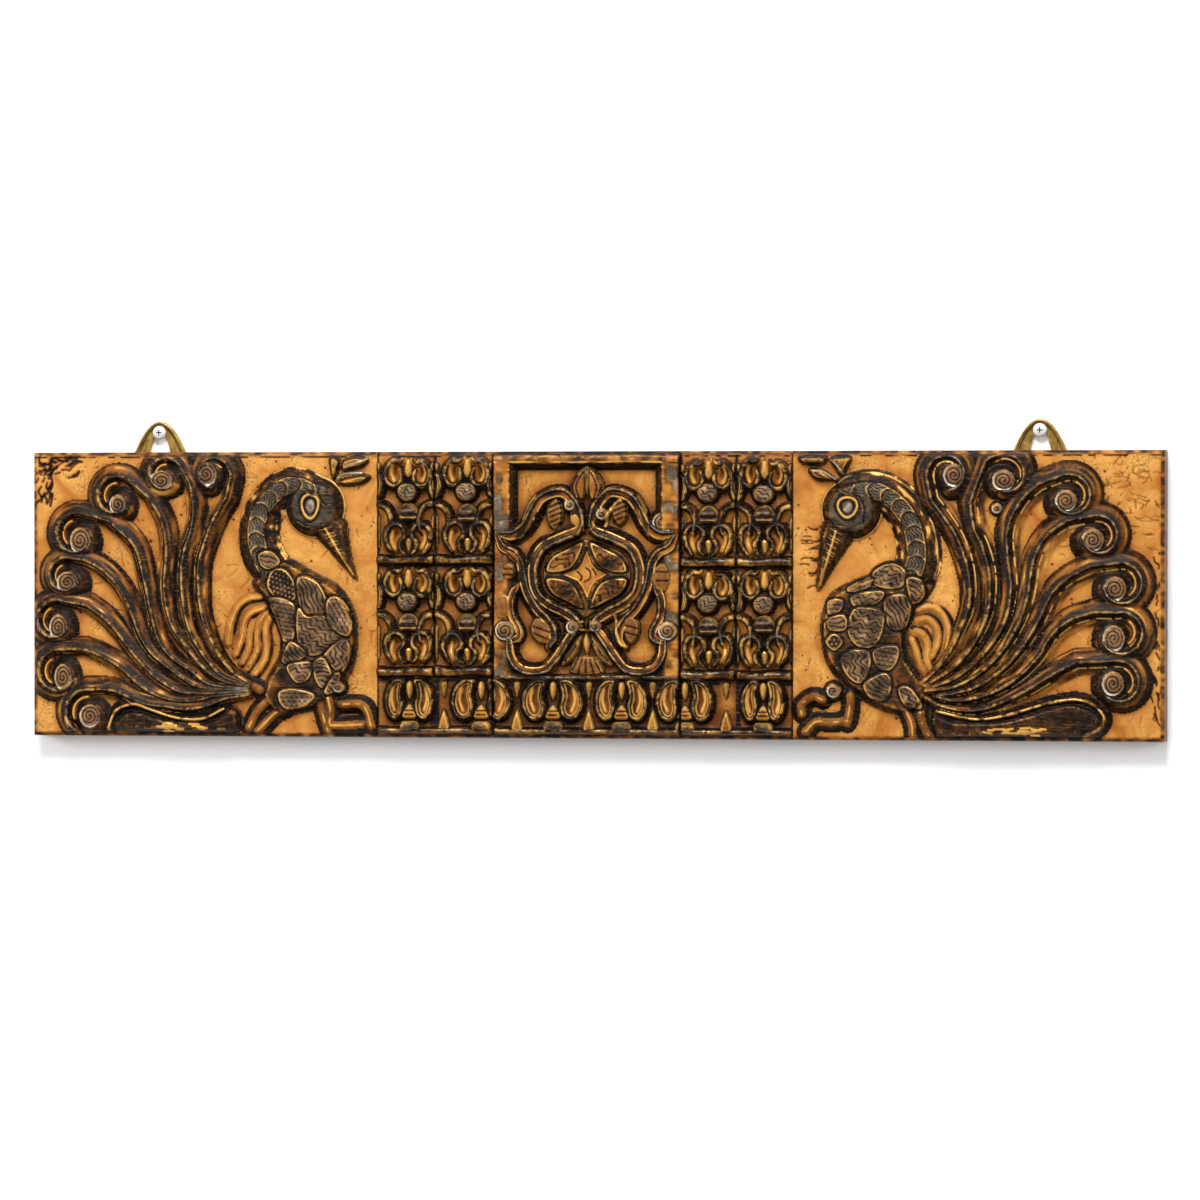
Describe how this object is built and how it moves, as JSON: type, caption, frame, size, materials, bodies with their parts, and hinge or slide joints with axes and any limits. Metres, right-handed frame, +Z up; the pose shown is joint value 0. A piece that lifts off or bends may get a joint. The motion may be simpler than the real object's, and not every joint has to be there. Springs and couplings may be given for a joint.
{
  "type": "carved wall panel",
  "caption": "Long carved wooden wall panel with birds and scrolled tail feathers beside a block of carved tiles, hung on arched brass loops.",
  "frame": {"origin": "centre of the plank's flat back face, which lies on the wall", "axes": "+X right as seen from the front, +Z up, +Y into the wall; the carving faces -Y"},
  "size_m": [0.914, 0.063, 0.2534],
  "materials": {
    "carved_wood": "golden ochre ground, dark-stained hollows and walls, rubbed metallic edges",
    "aged_brass": "antique brass, dark in the groove, worn bright on the rim",
    "white_screw": "white painted head with a cross slot",
    "zinc_screw": "zinc plated"
  },
  "bodies": {
    "root": {"panel": "carved_wood", "hanger_left": "aged_brass", "hanger_right": "aged_brass", "wall_screw_left": "white_screw", "wall_screw_right": "white_screw", "tang_screw_left_1": "zinc_screw", "tang_screw_left_2": "zinc_screw", "tang_screw_right_1": "zinc_screw", "tang_screw_right_2": "zinc_screw"}
  },
  "joints": []
}
